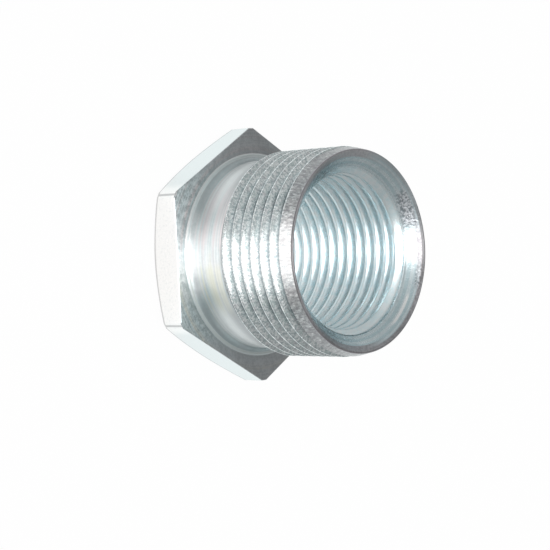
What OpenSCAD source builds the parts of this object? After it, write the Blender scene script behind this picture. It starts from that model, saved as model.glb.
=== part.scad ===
// Hexagon-headed thread adapter for steel conduit: a male thread outside, the next smaller female thread through it.
// Millimetres. The head's rear face is on z = 0 and the thread axis is +Z.

/* [Threads] */
// Nominal diameter of the male thread
outer_thread_d = 25; // [16:0.5:40]
// How much smaller the female thread is
size_step = 5; // [4.6:0.1:8]
// Distance from one crest to the next, on both threads
thread_pitch = 1.5; // [1:0.25:1.5]
// How far the finished male crests sit below the nominal diameter
outer_allowance = 0.15; // [0.02:0.01:0.3]

/* [Hexagon head] */
// How much wider the head is across its flats than the male thread
head_margin = 2.4; // [2:0.1:8]
// Thickness along the axis
head_thickness = 4; // [3.5:0.1:8]
// Diameter over the trimmed corners, as a share of the sharp hexagon's
corner_trim = 0.986; // [0.96:0.001:0.995]
// Slope of the rear chamfer from the rear face
rear_chamfer_angle = 26; // [15:1:30]
// Plain ring left on the rear face inside the flats
rear_chamfer_inset = 0.15; // [0.05:0.01:0.4]
// Width of the countersink in the rear face, beyond the female thread's own diameter
rear_countersink = 0.4; // [0.2:0.05:0.8]

/* [Neck] */
// Plain neck from the seat face to the start of the male thread
neck_length = 5; // [4:0.05:6]
// How far the neck lies below the root of the male thread
neck_relief = 0.05; // [0:0.01:0.2]
// How far the thin bead turned on the seat face stands out from the neck
bead_reach = 0.99; // [0.8:0.01:1.1]
// Height of that bead
bead_height = 0.12; // [0.05:0.01:0.2]
// Flat top of that bead, inside its bevelled edge
bead_flat = 0.08; // [0.05:0.01:0.2]
// Height of the curve from the seat face to the neck
fillet_height = 1.3; // [0.8:0.1:1.6]

/* [Mouth] */
// Length of the spigot from the seat face to the mouth
spigot_length = 16.84; // [14:0.01:24]
// Length of the lead-in taper
lead_in_length = 1.76; // [1.3:0.01:2.2]
// How much the radius drops along that taper
lead_in_drop = 0.375; // [0.2:0.005:0.6]
// Rounding of the rim's outer edge
rim_round = 0.2; // [0.1:0.05:0.3]
// Width of the rim between its outer edge and the countersink
rim_width = 0.28; // [0.25:0.01:0.6]
// Included angle of the countersink at the mouth
mouth_angle = 92; // [80:1:120]

/* [Hidden] */
// Shares of a metric thread's form
male_depth_share = 0.6134;
female_depth_share = 0.5413;
male_crest_share = 1 / 8;
female_crest_share = 1 / 4;
flank_angle = 30;

// Male side, from the thread inwards
crest_r = (outer_thread_d - outer_allowance) / 2;
male_depth = male_depth_share * thread_pitch;
neck_r = crest_r - male_depth - neck_relief;
bead_r = neck_r + bead_reach;
rim_r = crest_r - lead_in_drop;

// Female side
inner_thread_d = outer_thread_d - size_step;
female_depth = female_depth_share * thread_pitch;
minor_r = inner_thread_d / 2 - female_depth;
mouth_r = rim_r - rim_width;
mouth_depth = (mouth_r - minor_r) / tan(mouth_angle / 2);
rear_mouth_r = inner_thread_d / 2 + rear_countersink;

// Heights along the axis
seat_z = head_thickness;
mouth_z = seat_z + spigot_length;
runout_z = seat_z + neck_length;
first_crest_z = runout_z + crest_r - neck_r;
lead_in_z = mouth_z - lead_in_length;
male_grooves = floor((lead_in_z - first_crest_z) / thread_pitch);
female_grooves = ceil(mouth_z / thread_pitch);

// Hexagon
head_across_flats = outer_thread_d + head_margin;
sharp_corner_r = head_across_flats / 2 / cos(30);
corner_r = sharp_corner_r * corner_trim;
rear_chamfer_r = head_across_flats / 2 - rear_chamfer_inset;
chamfer_rise = (corner_r - rear_chamfer_r) * tan(rear_chamfer_angle);

// How far a cutter reaches past what it cuts
past = 1;
curve_steps = 6;
smooth = 120;

// Section of one groove of the male thread, opening outwards past the crests
module male_groove_section() {
  mouth = thread_pitch * (1 - male_crest_share) / 2;
  root = mouth - male_depth * tan(flank_angle);
  spread = mouth + past * tan(flank_angle);
  polygon([
    [crest_r - male_depth, -root],
    [crest_r + past, -spread],
    [crest_r + past, spread],
    [crest_r - male_depth, root]
  ]);
}

// Section of one groove of the female thread, opening inwards past the crests
module female_groove_section() {
  mouth = thread_pitch * (1 - female_crest_share) / 2;
  root = mouth - female_depth * tan(flank_angle);
  spread = mouth + past * tan(flank_angle);
  polygon([
    [minor_r + female_depth, -root],
    [minor_r - past, -spread],
    [minor_r - past, spread],
    [minor_r + female_depth, root]
  ]);
}

// Half section of the bead, the neck, the blank for the male thread, its lead-in and the rim
module spigot_section() {
  curve_r = bead_reach - bead_height - bead_flat;
  curve_h = fillet_height - bead_height;
  fillet = [
    for (i = [0:curve_steps])
      let (a = 90 * i / curve_steps)
      [neck_r + curve_r * (1 - sin(a)), seat_z + bead_height + curve_h * (1 - cos(a))]
  ];
  rim = [
    for (i = [0:curve_steps])
      let (a = 90 * i / curve_steps)
      [rim_r - rim_round * (1 - cos(a)), mouth_z - rim_round * (1 - sin(a))]
  ];
  polygon(concat(
    [
      [0, seat_z - past],
      [bead_r - past, seat_z - past],
      [bead_r, seat_z],
      [bead_r - bead_height, seat_z + bead_height]
    ],
    fillet,
    [[neck_r, runout_z], [crest_r, first_crest_z], [crest_r, lead_in_z]],
    rim,
    [[0, mouth_z]]
  ));
}

module spigot() {
  difference() {
    rotate_extrude($fn = smooth)
      spigot_section();
    for (i = [0:male_grooves - 1])
      translate([0, 0, first_crest_z + thread_pitch * (i + 0.5 + male_crest_share / 2)])
        rotate_extrude($fn = smooth)
          male_groove_section();
  }
}

// Hexagon with trimmed corners and a chamfer round the rear face
module head() {
  intersection() {
    cylinder(h = head_thickness, r = sharp_corner_r, $fn = 6);
    rotate_extrude($fn = smooth)
      polygon([
        [0, 0],
        [rear_chamfer_r, 0],
        [corner_r, chamfer_rise],
        [corner_r, head_thickness],
        [0, head_thickness]
      ]);
  }
}

// What the bore takes away: the plain hole, its two countersinks and the grooves
module threaded_bore() {
  rotate_extrude($fn = smooth)
    polygon([
      [0, -past],
      [rear_mouth_r, -past],
      [rear_mouth_r, 0],
      [minor_r, rear_mouth_r - minor_r],
      [minor_r, mouth_z - mouth_depth],
      [mouth_r, mouth_z],
      [mouth_r, mouth_z + past],
      [0, mouth_z + past]
    ]);
  for (i = [0:female_grooves - 1])
    translate([0, 0, thread_pitch * (i + 0.5)])
      rotate_extrude($fn = smooth)
        female_groove_section();
}

module adapter_body() {
  color([0.72, 0.75, 0.77])
    difference() {
      union() {
        head();
        spigot();
      }
      threaded_bore();
    }
}

adapter_body();
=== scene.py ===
"""Looks of the thread adapter: one zinc-plated steel piece with a right-hand thread outside and inside."""

import math

import bmesh
import bpy
import numpy as np
from mathutils import Matrix, Vector


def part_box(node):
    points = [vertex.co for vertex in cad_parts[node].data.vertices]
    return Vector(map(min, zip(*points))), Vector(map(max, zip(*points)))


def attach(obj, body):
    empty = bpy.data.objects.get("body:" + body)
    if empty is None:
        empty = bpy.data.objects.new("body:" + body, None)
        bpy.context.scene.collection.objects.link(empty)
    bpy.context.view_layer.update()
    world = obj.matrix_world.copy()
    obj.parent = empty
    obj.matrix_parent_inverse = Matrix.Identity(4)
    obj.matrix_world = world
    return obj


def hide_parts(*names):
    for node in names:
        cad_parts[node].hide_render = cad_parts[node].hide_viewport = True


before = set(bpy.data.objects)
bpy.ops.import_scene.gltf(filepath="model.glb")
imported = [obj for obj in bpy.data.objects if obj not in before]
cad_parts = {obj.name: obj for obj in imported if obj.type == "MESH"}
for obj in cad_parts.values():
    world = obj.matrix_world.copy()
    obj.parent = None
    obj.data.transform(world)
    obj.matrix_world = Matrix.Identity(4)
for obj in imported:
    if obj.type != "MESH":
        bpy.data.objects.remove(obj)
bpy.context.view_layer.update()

# Sizes in millimetres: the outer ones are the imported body's, and the rest are those of the part's source
MM = 0.001
body_low, body_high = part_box("adapter_body")
across_flats = (body_high[1] - body_low[1]) / MM
across_corners = (body_high[0] - body_low[0]) / MM
overall = (body_high[2] - body_low[2]) / MM

# Threads
pitch = 1.5
male_depth_share = 0.6134
female_depth_share = 0.5413
crest_radius = 12.425
root_radius = crest_radius - male_depth_share * pitch
bore_root_radius = 10.0
bore_radius = bore_root_radius - female_depth_share * pitch

# Head and neck
seat = 4.0
rear_countersink = 0.4
rear_mouth_radius = bore_root_radius + rear_countersink
rear_chamfer_inset = 0.15
rear_chamfer_radius = across_flats / 2 - rear_chamfer_inset
rear_chamfer_angle = 26
rear_chamfer_slope = math.tan(math.radians(rear_chamfer_angle))
neck_length = 5.0
neck_relief = 0.05
neck_radius = root_radius - neck_relief
bead_reach = 0.99
bead_radius = neck_radius + bead_reach
bead_height = 0.12
bead_flat = 0.08
fillet_height = 1.3
runout_start = seat + neck_length
first_crest = runout_start + crest_radius - neck_radius

# Mouth
lead_in_length = 1.76
lead_in_drop = 0.375
taper_start = overall - lead_in_length
rim_radius = crest_radius - lead_in_drop
rim_round = 0.2
rim_width = 0.28
mouth_radius = rim_radius - rim_width
mouth_angle = 92
mouth_slope = math.tan(math.radians(mouth_angle / 2))
mouth_depth = (mouth_radius - bore_radius) / mouth_slope

# Height of a crest's lower edge where the angle round the axis is zero
male_start = 1.52
female_start = 1.215

# One turn of each thread: height above the crest's lower edge, and depth below the crest
male_form = [
    (-0.035, 0.061), (0.0, 0.015), (0.045, 0.0), (0.15, 0.0), (0.195, 0.015), (0.23, 0.074), (0.40, 0.368),
    (0.56, 0.645), (0.68, 0.853), (0.73, 0.905), (0.80, 0.92), (0.90, 0.92), (0.96, 0.90), (1.02, 0.83),
    (1.24, 0.45),
]
female_form = [
    (-0.04, 0.069), (0.0, 0.018), (0.05, 0.0), (0.325, 0.0), (0.375, 0.018), (0.415, 0.069), (0.62, 0.424),
    (0.83, 0.775), (0.9375, 0.812), (1.05, 0.775), (1.27, 0.40),
]

# The mesh's columns: how many round the axis, and the closer ones in degrees from each hexagon corner
EVEN_COLUMNS = 216
CORNER_COLUMNS = (-2.3, -1.75, -1.43, -1.15, -0.6, 0, 0.6, 1.15, 1.43, 1.75, 2.3)
CLEAR_OF_CORNER = 2.6

# Finishes, in the order of the mesh's material slots
TURNED, FLATS, MALE, FEMALE, MOUTH = range(5)


def column_angles():
    """Angles of the mesh's columns, closer together at the hexagon's corners. The last repeats the first."""
    even = [math.radians(360 * i / EVEN_COLUMNS) for i in range(EVEN_COLUMNS)]
    far = [a for a in even if abs((math.degrees(a) + 30) % 60 - 30) > CLEAR_OF_CORNER]
    corners = [60 * corner + offset for corner in range(6) for offset in CORNER_COLUMNS]
    close = [math.radians(c) % (2 * math.pi) for c in corners]
    return np.array(sorted(far + close) + [2 * math.pi])


angles = column_angles()


def outline():
    """Distance from the axis to the side of the trimmed hexagon, at each column."""
    from_flat = np.abs((np.degrees(angles) % 60) - 30)
    sharp = across_flats / 2 / np.cos(np.radians(from_flat))
    return np.minimum(sharp, across_corners / 2)


def ring_rows(section):
    """Points round the axis for each (radius, height) of a half section."""
    rows = []
    for radius, height in section:
        radius = radius * np.ones_like(angles)
        height = height * np.ones_like(angles)
        rows.append(np.stack([radius * np.cos(angles), radius * np.sin(angles), height], 1))
    return np.array(rows)


def thread_rows(form, start, ends, corners, radius_at):
    """Points of a threaded wall between two heights. Its rows climb with the helix, so crests stay sharp."""
    low, high = ends
    offsets = np.array([f[0] for f in form])
    depths = np.array([f[1] for f in form])
    climb = pitch * angles / (2 * math.pi)
    first = math.floor((low - start) / pitch) - 2
    turns = math.ceil((high - low) / pitch) + 4
    base = np.array([start + pitch * (first + k) + o for k in range(turns) for o in offsets])
    heights = np.clip(base[:, None] + climb[None, :], low, high)
    for corner in corners:
        nearest = np.abs(heights - corner).argmin(0)
        heights[nearest, np.arange(len(angles))] = corner
    turn = (heights - start - climb[None, :] - offsets[0]) % pitch + offsets[0]
    depth = np.interp(turn, np.append(offsets, offsets[0] + pitch), np.append(depths, depths[0]))
    radius = radius_at(heights, depth)
    rows = np.stack([radius * np.cos(angles), radius * np.sin(angles), heights], 2)
    past_end = np.all((heights == low) | (heights == high), axis=1)
    past_end[[0, -1]] = False
    return rows[~past_end]


def male_radius(height, depth):
    """Radius of the male wall. The groove fades out in the lead-in taper."""
    fade_rate = 2
    fade_delay = 0.12
    runout = np.clip(height - runout_start + neck_radius, neck_radius, crest_radius)
    taper = np.interp(height, [taper_start, overall - rim_round], [crest_radius, rim_radius])
    fade = np.clip(fade_rate * (height - taper_start - fade_delay), 0, 1)
    return np.minimum(np.minimum(runout, taper), crest_radius - depth + fade)


def female_radius(height, depth):
    """Radius of the female wall, with the countersink at each end."""
    mouth_side = bore_radius + (height - (overall - mouth_depth)) * mouth_slope
    rear_side = rear_mouth_radius - height
    return np.maximum(np.maximum(mouth_side, rear_side), bore_radius + depth)


def arc(centre, radius, start, end, steps):
    """Points of an arc in the half section, with angles in degrees from the outward direction."""
    turn = [math.radians(start + (end - start) * i / steps) for i in range(steps + 1)]
    return [(centre[0] + radius[0] * math.cos(a), centre[1] + radius[1] * math.sin(a)) for a in turn]


# Half sections of the turned parts: neck and rim from the head outwards, and the head from the bore round
bead_top = seat + bead_height
fillet_start = bead_radius - bead_height - bead_flat
fillet_size = (fillet_start - neck_radius, fillet_height - bead_height)
neck_section = [
    (bead_radius, seat),
    (bead_radius - 0.035, seat + 0.075),
    (bead_radius - bead_height, bead_top),
    (fillet_start, bead_top),
    *arc((fillet_start, seat + fillet_height), fillet_size, 270, 180, 9)[1:],
    *((neck_radius, seat + h) for h in (1.6, 2.3, 3.1, 3.9, 4.6, 4.93, neck_length)),
]

countersink_foot = 10.06
countersink_width = mouth_radius - countersink_foot
countersink_steps = (0.06, 0.2, 0.4, 0.65, 0.69, 0.9, 1.3, countersink_width)
rim_section = [
    *arc((rim_radius - rim_round, overall - rim_round), (rim_round, rim_round), 0, 90, 7),
    (mouth_radius + 0.03, overall),
    (mouth_radius, overall - 0.008),
    (mouth_radius - 0.02, overall - 0.028),
    *((mouth_radius - d, overall - d / mouth_slope) for d in countersink_steps),
]
female_top = overall - countersink_width / mouth_slope
female_bottom = 0.3

side = outline()
edge = 0.12
edge_turns = (0, 0.4, 0.8, 1.2, math.pi / 2)
chamfer_top = (side - rear_chamfer_radius) * rear_chamfer_slope
head_section = [
    (rear_mouth_radius - female_bottom, female_bottom),
    (rear_mouth_radius - 0.05, 0.05),
    (rear_mouth_radius + 0.04, 0.0),
    (rear_mouth_radius + 0.12, 0.0),
    (12.0, 0.0),
    (rear_chamfer_radius - 0.2, 0.0),
    (rear_chamfer_radius - 0.08, 0.0),
    (rear_chamfer_radius + 0.02, 0.018),
    (side - 0.1 * (side - rear_chamfer_radius), 0.9 * chamfer_top),
    (side - 0.01, chamfer_top + 0.025),
    (side, chamfer_top + 0.09),
    (side, 0.5 * (chamfer_top + seat)),
    (side, seat - edge - 0.05),
    *((side - edge * (1 - math.cos(a)), seat - edge * (1 - math.sin(a))) for a in edge_turns),
    (side - edge - 0.05, seat),
    (0.5 * (side + bead_radius), seat),
    (bead_radius + 0.05, seat),
    (bead_radius, seat),
]
# Steps of the head's section that lie on the hexagon's flats
FLAT_STEPS = range(8, 14)


def build_body():
    """Joins the walls into one closed skin."""
    male_ends = (runout_start, overall - rim_round)
    female_ends = (female_bottom, female_top)
    male = thread_rows(male_form, male_start, male_ends, (first_crest, taper_start), male_radius)
    female = thread_rows(female_form, female_start, female_ends, (overall - mouth_depth,), female_radius)
    head = ring_rows(head_section)
    walls = [
        (ring_rows(neck_section), TURNED),
        (male, MALE),
        (ring_rows(rim_section), MOUTH),
        (female, FEMALE),
        (head, TURNED),
    ]
    points, faces, finishes = [], [], []
    across = len(angles)
    for rows, finish in walls:
        count = sum(len(p) for p in points)
        for i in range(len(rows) - 1):
            kind = FLATS if rows is head and i in FLAT_STEPS else finish
            for j in range(across - 1):
                a = count + i * across + j
                faces.append((a, a + 1, a + across + 1, a + across))
                finishes.append(kind)
        points.append(rows.reshape(-1, 3) * MM)
    skin = bpy.data.meshes.new("threaded_body")
    skin.from_pydata(np.concatenate(points).tolist(), [], faces)
    skin.polygons.foreach_set("material_index", finishes)
    same_place = 0.002 * MM
    no_length = 0.0005 * MM
    work = bmesh.new()
    work.from_mesh(skin)
    bmesh.ops.remove_doubles(work, verts=work.verts, dist=same_place)
    bmesh.ops.dissolve_degenerate(work, dist=no_length, edges=work.edges)
    bmesh.ops.recalc_face_normals(work, faces=work.faces)
    work.to_mesh(skin)
    work.free()
    soften(skin)
    return skin


def soften(skin):
    """Smooth shading in which a wide face outweighs the narrow rounding beside it."""
    count = len(skin.polygons)
    area = np.empty(count)
    skin.polygons.foreach_get("area", area)
    normal = np.empty(count * 3)
    skin.polygons.foreach_get("normal", normal)
    normal = normal.reshape(-1, 3) * area[:, None]
    corner = np.empty(len(skin.loops), dtype=int)
    skin.loops.foreach_get("vertex_index", corner)
    size = np.empty(count, dtype=int)
    skin.polygons.foreach_get("loop_total", size)
    total = np.zeros((len(skin.vertices), 3))
    np.add.at(total, corner, np.repeat(normal, size, axis=0))
    never_zero = 1e-20
    total /= np.linalg.norm(total, axis=1)[:, None] + never_zero
    skin.polygons.foreach_set("use_smooth", [True] * count)
    skin.normals_split_custom_set_from_vertices(total.tolist())


class Level:
    """A number that varies over a surface. Arithmetic on levels adds the nodes that work it out."""

    def __init__(self, recipe, socket):
        self.recipe = recipe
        self.socket = socket

    def combine(self, operation, *values):
        """The level that a math node makes of its values, each a level or a number."""
        made = self.recipe.node("ShaderNodeMath", {"operation": operation}, dict(enumerate(values)))
        return Level(self.recipe, made.outputs[0])

    def __add__(self, other):
        return self.combine("ADD", self, other)

    def __sub__(self, other):
        return self.combine("SUBTRACT", self, other)

    def __rsub__(self, other):
        return self.combine("SUBTRACT", other, self)

    def __mul__(self, other):
        return self.combine("MULTIPLY", self, other)

    def __truediv__(self, other):
        return self.combine("DIVIDE", self, other)

    def __pow__(self, other):
        return self.combine("POWER", self, other)

    __radd__ = __add__
    __rmul__ = __mul__

    def between(self, low, high):
        """Zero below low, one above high and a smooth rise between. Low may be the larger of the two."""
        settings = {"interpolation_type": "SMOOTHSTEP"}
        inputs = {"Value": self, "From Min": min(low, high), "From Max": max(low, high)}
        made = self.recipe.node("ShaderNodeMapRange", settings, inputs)
        level = Level(self.recipe, made.outputs[0])
        return 1 - level if low > high else level


class Recipe:
    """The nodes of one finish, of the floor or of the surroundings."""

    def __init__(self, tree):
        self.tree = tree
        tree.nodes.clear()

    def node(self, kind, settings=None, inputs=None):
        """A new node. An input is a value, or the socket or level that feeds it."""
        made = self.tree.nodes.new(kind)
        for name, value in (settings or {}).items():
            setattr(made, name, value)
        for name, value in (inputs or {}).items():
            socket = made.inputs[name]
            if isinstance(value, Level):
                value = value.socket
            if isinstance(value, bpy.types.NodeSocket):
                self.tree.links.new(value, socket)
            else:
                socket.default_value = value
        return made

    def parts(self, vector):
        """The three levels of a vector."""
        made = self.node("ShaderNodeSeparateXYZ", None, {0: vector})
        return [Level(self, made.outputs[i]) for i in range(3)]

    def place(self):
        """Position on the body in millimetres: the vector, its three parts and the distance from the axis."""
        spot = self.node("ShaderNodeTexCoord").outputs["Object"]
        scaled = self.node("ShaderNodeVectorMath", {"operation": "SCALE"}, {0: spot, "Scale": 1 / MM})
        spot = scaled.outputs[0]
        x, y, z = self.parts(spot)
        radius = (x * x + y * y) ** 0.5
        return spot, x, y, z, radius

    def noise(self, settings, inputs, detail, rough):
        """A level of noise between zero and one."""
        inputs = {**inputs, "Detail": detail, "Roughness": rough}
        return Level(self, self.node("ShaderNodeTexNoise", settings, inputs).outputs[0])

    def grain(self, where, scale, detail, rough):
        """Noise all over the surface."""
        return self.noise(None, {"Vector": where, "Scale": scale}, detail, rough)

    def lines(self, along, scale, detail, rough):
        """Noise along one direction only, as a turning tool leaves it."""
        return self.noise({"noise_dimensions": "1D"}, {"W": along * scale, "Scale": 1.0}, detail, rough)

    def stretched(self, where, amounts):
        """The same places, pulled out or pushed together along each axis."""
        return self.node("ShaderNodeVectorMath", {"operation": "MULTIPLY"}, {0: where, 1: amounts}).outputs[0]

    def blend(self, amount, first, second):
        """Mix of two colours."""
        return self.node("ShaderNodeMix", {"data_type": "RGBA"}, {0: amount, 6: first, 7: second}).outputs[2]

    def coats(self, tint, *layers):
        """The tint, with each layer's amount of its colour laid over it in turn."""
        for amount, coat in layers:
            tint = self.blend(amount, tint, coat)
        return tint

    def mix_shaders(self, amount, first, second):
        """Mix of two shaders."""
        inputs = {0: amount, 1: first.outputs[0], 2: second.outputs[0]}
        return self.node("ShaderNodeMixShader", None, inputs)

    def light(self, level, warmth):
        """Colour of a light level, as a share of BRIGHTEST, and a little warmer where warmth is one."""
        plain = self.blend(level * (1 / BRIGHTEST), BLACK, COOL_LIGHT)
        return self.blend(warmth, plain, self.stretched(plain, WARMTH))


def colour(red, green, blue):
    """An opaque colour, as the sockets take it."""
    return (red, green, blue, 1)


def zinc(name, make):
    """A material whose make(recipe) returns its colour, roughness, relief in millimetres and streak."""
    made = bpy.data.materials.new(name)
    made.use_nodes = True
    recipe = Recipe(made.node_tree)
    tint, rough, relief, streak = make(recipe)
    bump = recipe.node("ShaderNodeBump", None, {"Height": relief * MM, "Strength": 1.0, "Distance": 1.0})
    inputs = {"Base Color": tint, "Roughness": rough, "Metallic": 1.0, "Normal": bump.outputs[0]}
    inputs.update({"Anisotropic": streak, "Anisotropic Rotation": 0.25})
    shader = recipe.node("ShaderNodeBsdfPrincipled", None, inputs)
    recipe.node("ShaderNodeOutputMaterial", None, {"Surface": shader.outputs[0]})
    return made


# Light of the floor and the surroundings, where 1 is white
BRIGHTEST = 4.0
BLACK = colour(0, 0, 0)
WHITE = colour(1, 1, 1)
COOL_LIGHT = colour(0.965, 1, 1)
WARMTH = (1.02, 0.96, 0.95)

# Colours of the turned faces and the flats
ZINC_BLUE = colour(0.76, 0.85, 0.865)
ZINC_GREY = colour(0.82, 0.855, 0.865)
ZINC_ROSE = colour(0.87, 0.82, 0.82)
ZINC_STRAW = colour(0.84, 0.85, 0.78)
NEAR_FLAT_PAINTED_LIGHT = colour(0.945, 0.96, 0.955)
ZINC_PALE = colour(0.79, 0.835, 0.84)
EDGE_PAINTED_SHADE = colour(0.42, 0.43, 0.44)
ZINC_SHADE = colour(0.36, 0.42, 0.43)
TOOL_MARK = colour(0.93, 0.95, 0.95)
FACE_SPECK = colour(0.94, 0.96, 0.96)
FACE_CORNER_SHADE = colour(0.58, 0.565, 0.585)
BEAD_PAINTED_HIGHLIGHT = colour(0.86, 0.92, 0.92)
CREASE_PAINTED_SHADE = colour(0.335, 0.42, 0.44)
NECK_PAINTED_LIGHT = colour(0.97, 1.0, 1.0)
NECK_END_PAINTED_SHADE = colour(0.50, 0.52, 0.53)
NECK_ROSE = colour(0.92, 0.86, 0.87)
NECK_STRAW = colour(0.82, 0.83, 0.72)
NECK_MARK = colour(0.52, 0.55, 0.57)

# Colours of the male thread and its lead-in taper
CREST_GREY = colour(0.495, 0.56, 0.575)
CREST_PALE = colour(0.91, 0.93, 0.93)
CREST_GREEN = colour(0.54, 0.63, 0.62)
CREST_TORN = colour(0.575, 0.56, 0.585)
CREST_SPECK = colour(0.95, 0.96, 0.96)
CREST_GRAIN = colour(0.40, 0.43, 0.44)
FLANK_SHADE = colour(0.40, 0.45, 0.46)
SHOULDER_SHADE = colour(0.46, 0.50, 0.50)
GROOVE_SHADE = colour(0.30, 0.34, 0.36)
TAPER_GRAIN_AND_SHADE = colour(0.375, 0.39, 0.395)
TAPER_ROSE = colour(0.41, 0.395, 0.40)
TAPER_SIDE_SHADE = colour(0.22, 0.215, 0.22)
TAPER_DASH = colour(0.20, 0.195, 0.21)
TAPER_GLINT = colour(0.86, 0.86, 0.87)

# Colours of the female thread and the mouth
BORE_BLUE = colour(0.83, 0.965, 1.0)
BORE_PALE = colour(0.935, 0.985, 1.0)
BORE_GROOVE_SHADE = colour(0.36, 0.42, 0.45)
BORE_SHADE = colour(0.42, 0.52, 0.55)
MOUTH_BLUE = colour(0.57, 0.69, 0.725)
MOUTH_PALE = colour(0.71, 0.785, 0.81)
MOUTH_TORN = colour(0.46, 0.55, 0.58)
COUNTERSINK_FOOT_SHADE = colour(0.30, 0.35, 0.37)
RIM_DARK = colour(0.38, 0.37, 0.39)
RIM_PALE = colour(0.58, 0.56, 0.58)
RIM_TOP_PAINTED_LIGHT = colour(0.60, 0.59, 0.60)
RIM_BOTTOM_PAINTED_SHADE = colour(0.26, 0.26, 0.27)
RIM_EDGE_SHADE = colour(0.38, 0.36, 0.38)
RIM_LINE_SHADE = colour(0.155, 0.155, 0.16)
WORN_DARK = colour(0.20, 0.21, 0.23)
WORN_PALE = colour(0.74, 0.74, 0.77)


def corner_angle(x, y):
    """Degrees round the axis from the hexagon's nearest corner."""
    turn = x.combine("ARCTAN2", y, x) / (math.pi / 3) + 0.5
    off = x.combine("FRACT", turn) - 0.5
    return x.combine("ABSOLUTE", off) * 60


# Finishes. x, y, z and radius are millimetres on the body, and between() gives a zone its soft edge
def turned(recipe):
    """Neck, fillet, bead, seat face and rear face."""
    spot, x, y, z, radius = recipe.place()
    # Grows outwards on the faces and along the neck, so one noise marks both
    along = radius + z * 0.83
    marks = recipe.lines(along, scale=3.4, detail=3.0, rough=0.7)
    broad = recipe.lines(along, scale=1.3, detail=2.0, rough=0.6)
    blotch = recipe.grain(spot, scale=0.9, detail=3.0, rough=0.6)
    fine = recipe.grain(spot, scale=2.1, detail=3.0, rough=0.7)
    cloud = recipe.grain(spot, scale=0.22, detail=1.0, rough=0.5)
    aside = (x * x).between(10.0, 45.0)
    face = z.between(4.06, 4.02) * radius.between(12.40, 12.50)
    front = z.between(3.0, 3.8)
    bead = front * radius.between(12.50, 12.45) * radius.between(11.96, 12.08)
    fillet = front * radius.between(12.08, 11.96) * z.between(5.25, 4.75)
    bead_foot_shade = front * radius.between(12.95, 12.70) * radius.between(12.46, 12.52)
    runout = z.between(8.72, 8.88)
    neck = z.between(5.2, 5.5) * radius.between(12.0, 11.9)
    upper = neck * x.between(0.0, -3.0) * x.between(-9.5, -6.5) * broad.between(0.40, 0.56)
    lower = neck * x.between(0.3, 1.6) * x.between(7.5, 4.5) * broad.between(0.60, 0.44)
    # Turning marks, blotches and grit darken the tint; on the seat face part of this is painted shade, which
    # grows away from x = 0.
    shade = marks.between(0.56, 0.40) * 0.15 + blotch.between(0.58, 0.40) * (0.08 + face * 0.14)
    shade = shade + fine.between(0.60, 0.40) * (0.10 + face * (0.24 + aside * 0.14))
    tint = recipe.coats(
        recipe.blend(cloud.between(0.42, 0.62), ZINC_BLUE, ZINC_GREY),
        (broad.between(0.46, 0.60) * x.between(3.0, -3.0), ZINC_ROSE),
        (broad.between(0.50, 0.40) * x.between(-3.0, 3.0), ZINC_STRAW),
        (shade, ZINC_SHADE),
        (marks.between(0.54, 0.66) * 0.6, TOOL_MARK),
        (face * fine.between(0.62, 0.70) * 0.5, FACE_SPECK),
        # Painted highlight on the bead, stronger away from x = 0.
        (bead * (0.2 + aside * 0.5), BEAD_PAINTED_HIGHLIGHT),
        # Painted shade in the fillet, in a ring on the seat face round the bead's foot, and where the neck
        # meets the thread's run-out.
        (fillet * (0.04 + aside * 0.43) + bead_foot_shade * 0.36 + runout * 0.45, CREASE_PAINTED_SHADE),
        # Painted light: the neck is paler away from x = 0.
        (neck * aside * 0.90, NECK_PAINTED_LIGHT),
        # Painted shade: the neck is darker towards the thread end, away from x = 0.
        (neck * z.between(6.7, 8.6) * aside * 0.95, NECK_END_PAINTED_SHADE),
        (upper * 0.75, NECK_ROSE),
        (lower * 0.75, NECK_STRAW),
        (neck * marks.between(0.58, 0.42) * 0.18, NECK_MARK),
        # Painted shade: the seat face is darker far from x = 0, out towards its corners.
        (face * (x * x).between(60.0, 150.0) * 0.6, FACE_CORNER_SHADE),
    )
    rough = 0.18 + marks * 0.28 + fine * 0.10
    relief = marks * 0.026 + fine * (0.006 + face * 0.010) + blotch * 0.01
    return tint, rough, relief, 0.85


def flats(recipe):
    """The hexagon's sides, which are as drawn and not turned."""
    spot, x, y, z, radius = recipe.place()
    fine = recipe.grain(spot, scale=3.2, detail=4.0, rough=0.65)
    low_edge = (z - (radius - rear_chamfer_radius) * rear_chamfer_slope).between(0.32, 0.16)
    corner = corner_angle(x, y).between(0.75, 0.30)
    # Painted light: the flat facing -y, towards the camera, is paler and warmer than the other flats.
    tint = recipe.coats(
        recipe.blend(y.between(-13.0, -11.5), NEAR_FLAT_PAINTED_LIGHT, ZINC_PALE),
        (fine.between(0.50, 0.66) * 0.6, ZINC_GREY),
        # Painted shade along the edge above the rear chamfer and in thin lines at the trimmed corners.
        (low_edge * 0.6 + corner * 0.7 * (1 - low_edge), EDGE_PAINTED_SHADE),
    )
    return tint, 0.24 + fine * 0.1, fine * 0.006, 0.0


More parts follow.
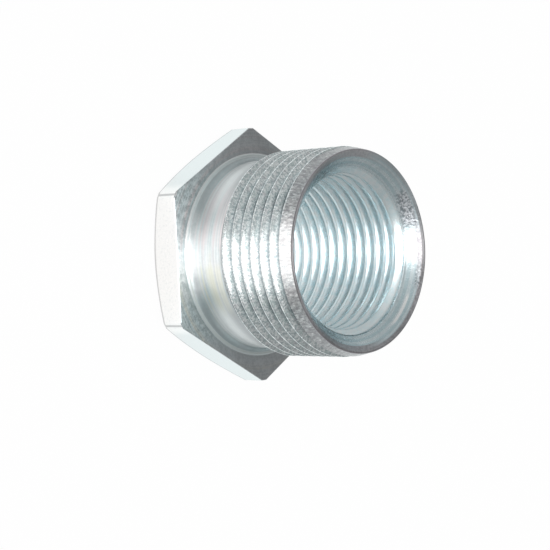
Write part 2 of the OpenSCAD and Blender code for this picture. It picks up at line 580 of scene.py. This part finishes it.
def male_thread(recipe):
    """Male thread and lead-in taper, with torn crests and painted shade on the groove floors and where the
    first crest starts.
    """
    spot, x, _, z, radius = recipe.place()
    torn = recipe.grain(spot, scale=1.7, detail=3.0, rough=0.65)
    axial = recipe.grain(recipe.stretched(spot, (1, 1, 0.45)), scale=3.8, detail=2.0, rough=0.6)
    specks = recipe.grain(spot, scale=3.0, detail=1.0, rough=0.5)
    green = recipe.grain(spot, scale=0.8, detail=2.0, rough=0.5)
    aside = x.between(1.0, 6.0) + x.between(-1.0, -7.0) * 0.60
    calm = (x * x).between(20.0, 5.0)
    lead_in = z.between(19.05, 19.25)
    start = z.between(9.95, 9.75)
    deep = radius.between(11.82, 11.70)
    flank = radius.between(12.15, 11.70) * (1 - lead_in)
    crest = radius.between(12.34, 12.40) * torn.between(0.42, 0.58) * (1 - lead_in)
    shoulder = x.between(-1.2, -2.6) * x.between(-5.2, -3.6) + x.between(1.2, 2.6) * x.between(4.6, 3.2) * 0.5
    taper = 0.78 - calm * 0.08 + torn.between(0.40, 0.60) * (0.20 - calm * 0.16)
    tint = recipe.coats(
        recipe.blend(axial.between(0.36, 0.62), CREST_GREY, CREST_PALE),
        (green.between(0.50, 0.64) * (0.2 + aside * 0.35), CREST_GREEN),
        (torn.between(0.53, 0.66) * 0.6, CREST_TORN),
        (specks.between(0.64, 0.72) * 0.7, CREST_SPECK),
        (flank * (0.04 + aside * 0.26), FLANK_SHADE),
        (crest * (0.1 + aside * 0.45), CREST_GRAIN),
        (shoulder * (1 - lead_in) * 0.35, SHOULDER_SHADE),
        # The lead-in taper is darkened, less so near x = 0 and more where torn: painted shade with real
        # grain.
        (lead_in * taper, TAPER_GRAIN_AND_SHADE),
        (lead_in * green.between(0.46, 0.60) * 0.4, TAPER_ROSE),
        # Painted shade on the taper far from x = 0.
        (lead_in * (x * x).between(25.0, 100.0) * 0.5, TAPER_SIDE_SHADE),
        (lead_in * axial.between(0.52, 0.42) * (0.60 - calm * 0.40), TAPER_DASH),
        (lead_in * axial.between(0.60, 0.68) * 0.40, TAPER_GLINT),
        (deep * (0.68 - aside * 0.20) + start * 0.5 * (1 - deep), GROOVE_SHADE),
    )
    rough = 0.15 + torn * 0.12 + lead_in * 0.06
    relief = (torn * 0.008 + specks * 0.006 + axial * (0.004 + lead_in * 0.012)) * (1 - calm * 0.55)
    return tint, rough, relief, 0.3


def female_thread(recipe):
    """Female thread, smoother than the male one, with painted shade in its grooves."""
    spot, x, _, z, radius = recipe.place()
    marks = recipe.lines(z, scale=5.0, detail=2.0, rough=0.6)
    torn = recipe.grain(spot, scale=1.6, detail=3.0, rough=0.6)
    aside = (x * x).between(6.0, 34.0)
    tint = recipe.coats(
        recipe.blend(torn.between(0.35, 0.65), BORE_BLUE, BORE_PALE),
        # Painted shade towards the groove roots, stronger away from x = 0.
        (radius.between(9.80, 9.94) * (0.03 + aside * 0.15), BORE_GROOVE_SHADE),
        (x.between(6.0, 9.0) * 0.12, BORE_SHADE),
    )
    return tint, 0.21 + torn * 0.08, marks * 0.003 + torn * 0.004, 0.4


def mouth(recipe):
    """Countersink and rim, with a worn patch, a painted gleam, and painted shade on the rim and in a dark
    line round it.
    """
    spot, x, y, _, radius = recipe.place()
    streaks = recipe.lines(radius, scale=3.2, detail=3.0, rough=0.65)
    torn = recipe.grain(spot, scale=1.8, detail=3.0, rough=0.65)
    grit = recipe.grain(spot, scale=3.6, detail=2.0, rough=0.6)
    worn_above = x.between(-7.6, -6.4) * x.between(-2.0, -3.2)
    worn_below = x.between(2.0, 3.0) * x.between(5.6, 4.4) * radius.between(10.9, 11.2) * 0.6
    worn = worn_above * radius.between(9.9, 10.5) * radius.between(11.7, 11.2)
    worn = (worn + worn_below) * y.between(7.5, 9.2)
    calm = x.between(-1.0, -4.0) * y.between(1.0, 5.0)
    narrow = x.between(1.0, 4.0) * y.between(0.0, 5.0) * radius.between(11.52, 11.42)
    outer = radius.between(11.06, 11.16) * (1 - calm * 0.8) * (1 - narrow)
    lip = radius.between(11.84, 11.93)
    gleam = radius.between(10.72, 10.80) * radius.between(11.04, 10.94)
    gleam = gleam * x.between(5.3, 6.2) * x.between(9.4, 8.6) * y.between(2.0, 5.0)
    far_line = radius.between(11.50, 11.62) * y.between(2.0, 7.0)
    near_line = radius.between(11.77, 11.82) * y.between(-2.0, -7.0)
    foot = radius.between(10.28, 10.14) * (x * x).between(30.0, 6.0)
    rim = recipe.coats(
        recipe.blend(grit.between(0.38, 0.60), RIM_DARK, RIM_PALE),
        # Painted light pales the rim on the negative-x side, and painted shade darkens it on the positive-x
        # side.
        (x.between(-4.0, -9.0) * 0.5, RIM_TOP_PAINTED_LIGHT),
        (x.between(5.0, 10.0) * 0.35, RIM_BOTTOM_PAINTED_SHADE),
    )
    tint = recipe.coats(
        recipe.blend(streaks.between(0.40, 0.60), MOUTH_BLUE, MOUTH_PALE),
        (torn.between(0.50, 0.66) * 0.5, MOUTH_TORN),
        (outer, rim),
        (worn * 0.8, recipe.blend(grit.between(0.42, 0.58), WORN_DARK, WORN_PALE)),
        # Painted shade on the rim's rounded outer edge.
        (lip * 0.7, RIM_EDGE_SHADE),
        (gleam, WHITE),
        # Painted shade: a dark line round the rim, darkest near x = 0.
        ((far_line + near_line) * (0.90 - (x * x).between(8.0, 40.0) * 0.60), RIM_LINE_SHADE),
        # Painted shade at the countersink's foot, where it meets the bore, near x = 0.
        (foot * 0.55, COUNTERSINK_FOOT_SHADE),
    )
    rough = 0.22 + torn * 0.12 + outer * 0.06
    relief = streaks * 0.012 + torn * 0.012 + grit * (0.006 + worn * 0.03)
    return tint, rough, relief, 0.2


def put(name, data):
    """A new object in the scene."""
    thing = bpy.data.objects.new(name, data)
    bpy.context.scene.collection.objects.link(thing)
    return thing


skin = build_body()
skin.materials.append(zinc("turned_zinc", turned))
skin.materials.append(zinc("hexagon_zinc", flats))
skin.materials.append(zinc("male_thread_zinc", male_thread))
skin.materials.append(zinc("female_thread_zinc", female_thread))
skin.materials.append(zinc("mouth_zinc", mouth))
body = put("threaded_body", skin)
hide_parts("adapter_body")
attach(body, "root")


def pale_floor():
    """White to the camera, matt to diffuse light, and a glow of its own in what the metal mirrors."""
    half = 3.0
    corners = [(-half, -half, 0), (half, -half, 0), (half, half, 0), (-half, half, 0)]
    sheet = bpy.data.meshes.new("floor")
    sheet.from_pydata(corners, [], [(0, 1, 2, 3)])
    made = bpy.data.materials.new("pale_floor")
    made.use_nodes = True
    recipe = Recipe(made.node_tree)
    ray = recipe.node("ShaderNodeLightPath")
    _, x, y, _, radius = recipe.place()
    off_centre = x - 0.5 - y * 0.07
    far = y.between(-42.0, -58.0)
    wedge = (off_centre * off_centre) ** 0.5 / ((y * y) ** 0.5 + 0.1)
    wedge = wedge.between(1.35, 0.15) * y.between(4.0, -4.0)
    close = radius.between(21.0, 17.0)
    inside = radius.between(11.0, 9.5)
    beam = (0.10 + 2.5 * far) * wedge * (1 - 0.7 * far * (1 - wedge)) * (1 - close)
    around = 1.09 - 0.83 * far + beam - 0.03 * close
    under_bore = 0.74 + 1.1 * (x * x).between(3.0, 0.1) * y.between(4.0, -0.5)
    level = around * (1 - inside) + inside * under_bore
    matt = recipe.node("ShaderNodeBsdfDiffuse", None, {"Color": colour(0.8, 0.8, 0.8)})
    white = recipe.node("ShaderNodeEmission", None, {"Color": WHITE, "Strength": 1.0})
    lit = recipe.light(level, wedge)
    glow = recipe.node("ShaderNodeEmission", None, {"Color": lit, "Strength": BRIGHTEST})
    seen = recipe.mix_shaders(Level(recipe, ray.outputs["Is Camera Ray"]) * 0.97, matt, white)
    both = recipe.mix_shaders(ray.outputs["Is Glossy Ray"], seen, glow)
    recipe.node("ShaderNodeOutputMaterial", None, {"Surface": both.outputs[0]})
    sheet.materials.append(made)
    floor = put("floor", sheet)
    clearance = 0.02 * MM
    floor.location.z = -clearance


def studio():
    """Soft surroundings with a bright curtain behind the part's left side, white to the camera."""
    surroundings = bpy.data.worlds.new("studio")
    surroundings.use_nodes = True
    bpy.context.scene.world = surroundings
    recipe = Recipe(surroundings.node_tree)
    ray = recipe.node("ShaderNodeLightPath")
    x, y, z = recipe.parts(recipe.node("ShaderNodeTexCoord").outputs["Generated"])
    behind = (y * 0.729 + z * 0.685).between(0.74, 0.96)
    off_centre = x + 0.008
    high = z.between(0.80, 0.94)
    curtain = (off_centre * off_centre * (1 + 1.6 * high)).between(0.11, 0.015) * y.between(0.45, 0.25)
    crown = ((x - 0.02) * (x - 0.02)).between(0.07, 0.004) * high
    level = 0.61 + high * 0.08 - (x * x).between(0.2, 0.7) * (0.14 + high * 0.08) - x.between(0.1, 0.6) * 0.12
    level = level + curtain * 0.92 + crown * 0.95 - behind * 0.35
    lit = recipe.light(level, curtain)
    back = recipe.node("ShaderNodeBackground", None, {"Color": lit, "Strength": BRIGHTEST})
    white = recipe.node("ShaderNodeBackground", None, {"Color": WHITE, "Strength": 1.0})
    seen = recipe.mix_shaders(ray.outputs["Is Camera Ray"], back, white)
    recipe.node("ShaderNodeOutputWorld", None, {"Surface": seen.outputs[0]})


def soft_lamp(name, place, aim, width, length, brightness):
    """A rectangular soft box. Brightness is how bright its face looks, where 1 is white."""
    box = bpy.data.lights.new(name, "AREA")
    box.shape = "RECTANGLE"
    box.size = width
    box.size_y = length
    box.energy = brightness * math.pi * width * length
    lamp = put(name, box)
    lamp.location = place
    lamp.rotation_euler = (Vector(aim) - Vector(place)).to_track_quat("-Z", "Y").to_euler()


pale_floor()
studio()
soft_lamp("overhead_lamp", (0.02, -0.10, 0.50), (0, 0, 0.01), width=0.26, length=0.62, brightness=1.8)

# Camera: above the front edge of the mouth, turned so that the thread axis lies across the picture
view_target = Vector((2.741, 3.294, 3.637)) * MM
view_azimuth = math.radians(-92.642)
view_elevation = math.radians(43.211)
view_roll = math.radians(88.819)
view_distance = 225.91 * MM

optics = bpy.data.cameras.new("camera")
optics.lens = 118.37
optics.sensor_width = 36
optics.clip_start = 0.01
camera = put("camera", optics)
level_share = math.cos(view_elevation)
back = Vector((
    math.cos(view_azimuth) * level_share,
    math.sin(view_azimuth) * level_share,
    math.sin(view_elevation),
))
roll = Matrix.Rotation(view_roll, 3, "Z").to_quaternion()
camera.location = view_target + back * view_distance
camera.rotation_mode = "QUATERNION"
camera.rotation_quaternion = (-back).to_track_quat("-Z", "Y") @ roll
bpy.context.scene.camera = camera
bpy.context.scene.view_settings.view_transform = "Standard"
